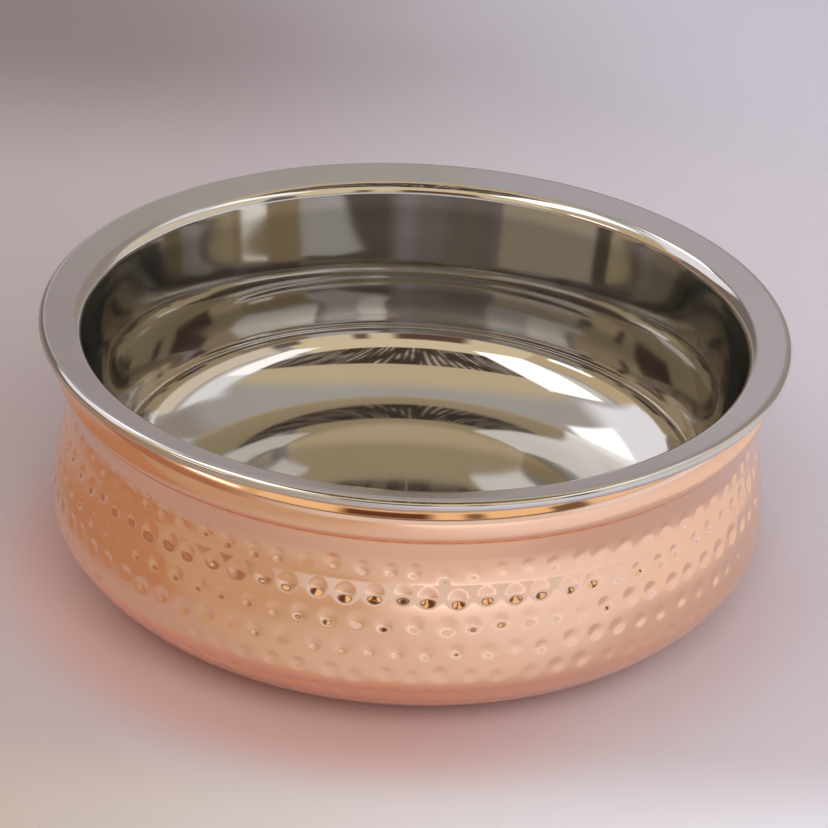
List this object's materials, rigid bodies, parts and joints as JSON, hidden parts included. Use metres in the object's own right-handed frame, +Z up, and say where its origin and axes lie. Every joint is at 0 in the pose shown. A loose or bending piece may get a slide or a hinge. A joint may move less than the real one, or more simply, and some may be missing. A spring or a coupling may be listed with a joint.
{
  "type": "copper handi",
  "caption": "Round double-walled serving and cooking bowl: a hammered copper shell crimped under the rim of a polished steel bowl.",
  "frame": {"origin": "middle of the flat base, on the plane that it stands on", "axes": "+Z up through the mouth, the axis that both pieces are turned round"},
  "size_m": [0.2, 0.2, 0.075],
  "materials": {
    "steel": "polished stainless steel",
    "copper": null
  },
  "bodies": {
    "root": {"inner_bowl": "steel", "copper_shell": "copper"}
  },
  "joints": []
}
